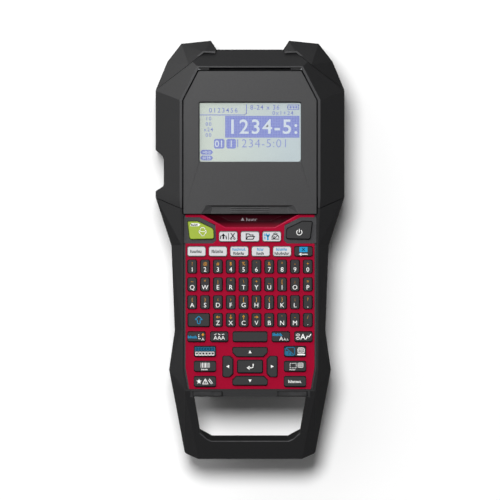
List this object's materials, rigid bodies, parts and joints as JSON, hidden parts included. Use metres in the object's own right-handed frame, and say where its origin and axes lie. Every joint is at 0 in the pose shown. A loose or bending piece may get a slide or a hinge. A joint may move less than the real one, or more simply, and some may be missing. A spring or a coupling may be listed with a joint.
{
  "type": "handheld label printer",
  "caption": "Rugged handheld tape label printer with a flip-up display lid over the tape bay, a red keyboard panel, corner bumpers and a carry handle.",
  "frame": {"origin": "middle of the overall length and width, on the table plane under the rubber feet", "axes": "+Z out of the keyboard face, +Y along the length towards the display end, +X to the right of a reader of the keyboard"},
  "size_m": [0.1246, 0.2764, 0.07],
  "materials": {
    "frame": "fine spark-eroded black plastic",
    "bumper": "tough black plastic, softer than the frame",
    "rubber": "matte",
    "panel": "satin red",
    "grey": "fine textured dark grey",
    "board": "solder-masked board",
    "window": "clear",
    "display": "pale display face",
    "steel": "plain",
    "gear": "natural moulding",
    "cartridge": "satin light grey",
    "label": "label film",
    "ribbon": "ink ribbon",
    "heatsink": "extruded",
    "battery": "sleeved cell",
    "key_dark": "satin dark key",
    "key_light": "satin light key",
    "key_green": "satin green key"
  },
  "bodies": {
    "housing": {"rear_case": "frame", "head_frame": "frame", "grip_frame": "frame", "corner_bumper_left": "bumper", "corner_bumper_right": "bumper", "crossbar_pads": "rubber", "keypad_bezel": "panel", "keypad_plate": "grey", "keymat": "rubber", "main_board": "board", "lid_hinge_pins": "steel", "cartridge_bay": "grey", "cartridge_case": "cartridge", "label_tape": "label", "feed_motor": "steel", "print_head": "heatsink", "cutter_fixed_blade": "steel", "cutter_motor": "steel", "battery_door_pin": "steel", "batteries": "battery", "battery_contacts": "steel", "case_screws": "steel", "rubber_feet": "rubber", "dc_jack": "rubber", "usb_socket": "steel"},
    "lid": {"display_lid": "grey", "display_window": "window", "lcd_module": "display", "lid_inner_cover": "frame"},
    "battery_cover": {"battery_door": "frame"},
    "platen": {"platen_roller": "rubber", "platen_gear": "gear"},
    "idler": {"idler_gear": "gear"},
    "motor_shaft": {"motor_pinion": "steel"},
    "ribbon_takeup": {"ribbon_gear": "gear", "ribbon_takeup_spool": "gear"},
    "ribbon_supply": {"ribbon_supply_spool": "ribbon"},
    "roll": {"tape_roll": "label"},
    "crank": {"cutter_crank": "gear"},
    "blade": {"cutter_moving_blade": "steel"},
    "print_key_cap": {"print_key": "key_green"},
    "power_key_cap": {"power_key": "key_dark"},
    "menu_keys_caps": {"menu_keys": "key_light"},
    "label_type_keys_caps": {"label_type_keys": "key_light"},
    "backspace_key_cap": {"backspace_key": "key_dark"},
    "number_keys_caps": {"number_keys": "key_dark"},
    "top_letter_keys_caps": {"top_letter_keys": "key_dark"},
    "home_letter_keys_caps": {"home_letter_keys": "key_dark"},
    "bottom_letter_keys_caps": {"bottom_letter_keys": "key_dark"},
    "shift_key_cap": {"shift_key": "key_dark"},
    "mode_keys_caps": {"mode_keys": "key_dark"},
    "space_key_cap": {"space_key": "key_dark"},
    "left_side_keys_caps": {"left_side_keys": "key_dark"},
    "right_side_keys_caps": {"right_side_keys": "key_dark"},
    "up_key_cap": {"up_key": "key_dark"},
    "down_key_cap": {"down_key": "key_dark"},
    "left_key_cap": {"left_key": "key_dark"},
    "right_key_cap": {"right_key": "key_dark"},
    "enter_key_cap": {"enter_key": "key_dark"}
  },
  "joints": [
    {"name": "lid_hinge", "type": "hinge", "parent": "housing", "child": "lid", "pos_m": [0, 0.1191, 0.0685], "axis": [-1, 0, 0], "range_deg": [0, 95]},
    {"name": "battery_door_hinge", "type": "hinge", "parent": "housing", "child": "battery_cover", "pos_m": [0, 0.0178, 0.0032], "axis": [1, 0, 0], "range_deg": [0, 100]},
    {"name": "platen_spin", "type": "hinge", "parent": "housing", "child": "platen", "pos_m": [-0.026, 0.0552, 0.014], "axis": [0, 0, 1], "continuous": true},
    {"name": "cutter_blade_slide", "type": "slide", "parent": "housing", "child": "blade", "axis": [0, -1, 0], "range_m": [0, 0.0045]},
    {"name": "idler_spin", "type": "hinge", "parent": "housing", "child": "idler", "pos_m": [-0.02906, 0.07253, 0.014], "axis": [0, 0, 1], "continuous": true},
    {"name": "motor_spin", "type": "hinge", "parent": "housing", "child": "motor_shaft", "pos_m": [-0.03398, 0.08606, 0.014], "axis": [0, 0, 1], "continuous": true},
    {"name": "ribbon_takeup_spin", "type": "hinge", "parent": "housing", "child": "ribbon_takeup", "pos_m": [-0.01024, 0.05798, 0.014], "axis": [0, 0, 1], "continuous": true},
    {"name": "ribbon_supply_spin", "type": "hinge", "parent": "housing", "child": "ribbon_supply", "pos_m": [-0.004, 0.098, 0.036], "axis": [0, 0, 1], "continuous": true},
    {"name": "tape_roll_spin", "type": "hinge", "parent": "housing", "child": "roll", "pos_m": [0.02, 0.084, 0.036], "axis": [0, 0, 1], "continuous": true},
    {"name": "cutter_crank_turn", "type": "hinge", "parent": "housing", "child": "crank", "pos_m": [-0.047, 0.074, 0.016], "axis": [0, 0, 1], "range_deg": [0, 180]},
    {"name": "print_key_press", "type": "slide", "parent": "housing", "child": "print_key_cap", "axis": [0, 0, -1], "range_m": [0, 0.0008], "stiffness_N_per_m": 80},
    {"name": "power_key_press", "type": "slide", "parent": "housing", "child": "power_key_cap", "axis": [0, 0, -1], "range_m": [0, 0.0008], "stiffness_N_per_m": 80},
    {"name": "enter_key_press", "type": "slide", "parent": "housing", "child": "enter_key_cap", "axis": [0, 0, -1], "range_m": [0, 0.0008], "stiffness_N_per_m": 80},
    {"name": "up_key_press", "type": "slide", "parent": "housing", "child": "up_key_cap", "axis": [0, 0, -1], "range_m": [0, 0.0008], "stiffness_N_per_m": 80},
    {"name": "down_key_press", "type": "slide", "parent": "housing", "child": "down_key_cap", "axis": [0, 0, -1], "range_m": [0, 0.0008], "stiffness_N_per_m": 80},
    {"name": "left_key_press", "type": "slide", "parent": "housing", "child": "left_key_cap", "axis": [0, 0, -1], "range_m": [0, 0.0008], "stiffness_N_per_m": 80},
    {"name": "right_key_press", "type": "slide", "parent": "housing", "child": "right_key_cap", "axis": [0, 0, -1], "range_m": [0, 0.0008], "stiffness_N_per_m": 80},
    {"name": "space_key_press", "type": "slide", "parent": "housing", "child": "space_key_cap", "axis": [0, 0, -1], "range_m": [0, 0.0008], "stiffness_N_per_m": 80},
    {"name": "shift_key_press", "type": "slide", "parent": "housing", "child": "shift_key_cap", "axis": [0, 0, -1], "range_m": [0, 0.0008], "stiffness_N_per_m": 80},
    {"name": "backspace_key_press", "type": "slide", "parent": "housing", "child": "backspace_key_cap", "axis": [0, 0, -1], "range_m": [0, 0.0008], "stiffness_N_per_m": 80},
    {"name": "menu_keys_press", "type": "slide", "parent": "housing", "child": "menu_keys_caps", "axis": [0, 0, -1], "range_m": [0, 0.0008], "stiffness_N_per_m": 240},
    {"name": "label_type_keys_press", "type": "slide", "parent": "housing", "child": "label_type_keys_caps", "axis": [0, 0, -1], "range_m": [0, 0.0008], "stiffness_N_per_m": 400},
    {"name": "number_keys_press", "type": "slide", "parent": "housing", "child": "number_keys_caps", "axis": [0, 0, -1], "range_m": [0, 0.0008], "stiffness_N_per_m": 800},
    {"name": "top_letter_keys_press", "type": "slide", "parent": "housing", "child": "top_letter_keys_caps", "axis": [0, 0, -1], "range_m": [0, 0.0008], "stiffness_N_per_m": 800},
    {"name": "home_letter_keys_press", "type": "slide", "parent": "housing", "child": "home_letter_keys_caps", "axis": [0, 0, -1], "range_m": [0, 0.0008], "stiffness_N_per_m": 800},
    {"name": "bottom_letter_keys_press", "type": "slide", "parent": "housing", "child": "bottom_letter_keys_caps", "axis": [0, 0, -1], "range_m": [0, 0.0008], "stiffness_N_per_m": 640},
    {"name": "mode_keys_press", "type": "slide", "parent": "housing", "child": "mode_keys_caps", "axis": [0, 0, -1], "range_m": [0, 0.0008], "stiffness_N_per_m": 320},
    {"name": "left_side_keys_press", "type": "slide", "parent": "housing", "child": "left_side_keys_caps", "axis": [0, 0, -1], "range_m": [0, 0.0008], "stiffness_N_per_m": 240},
    {"name": "right_side_keys_press", "type": "slide", "parent": "housing", "child": "right_side_keys_caps", "axis": [0, 0, -1], "range_m": [0, 0.0008], "stiffness_N_per_m": 240}
  ],
  "couplings": [
    {"joint": "idler_spin", "follows": "platen_spin", "ratio": -0.83333},
    {"joint": "motor_spin", "follows": "platen_spin", "ratio": 1.6667},
    {"joint": "ribbon_takeup_spin", "follows": "platen_spin", "ratio": -1},
    {"joint": "ribbon_supply_spin", "follows": "platen_spin", "ratio": 0.5},
    {"joint": "tape_roll_spin", "follows": "platen_spin", "ratio": 0.25},
    {"joint": "cutter_crank_turn", "follows": "cutter_blade_slide", "rad_per_m": 698.13}
  ]
}
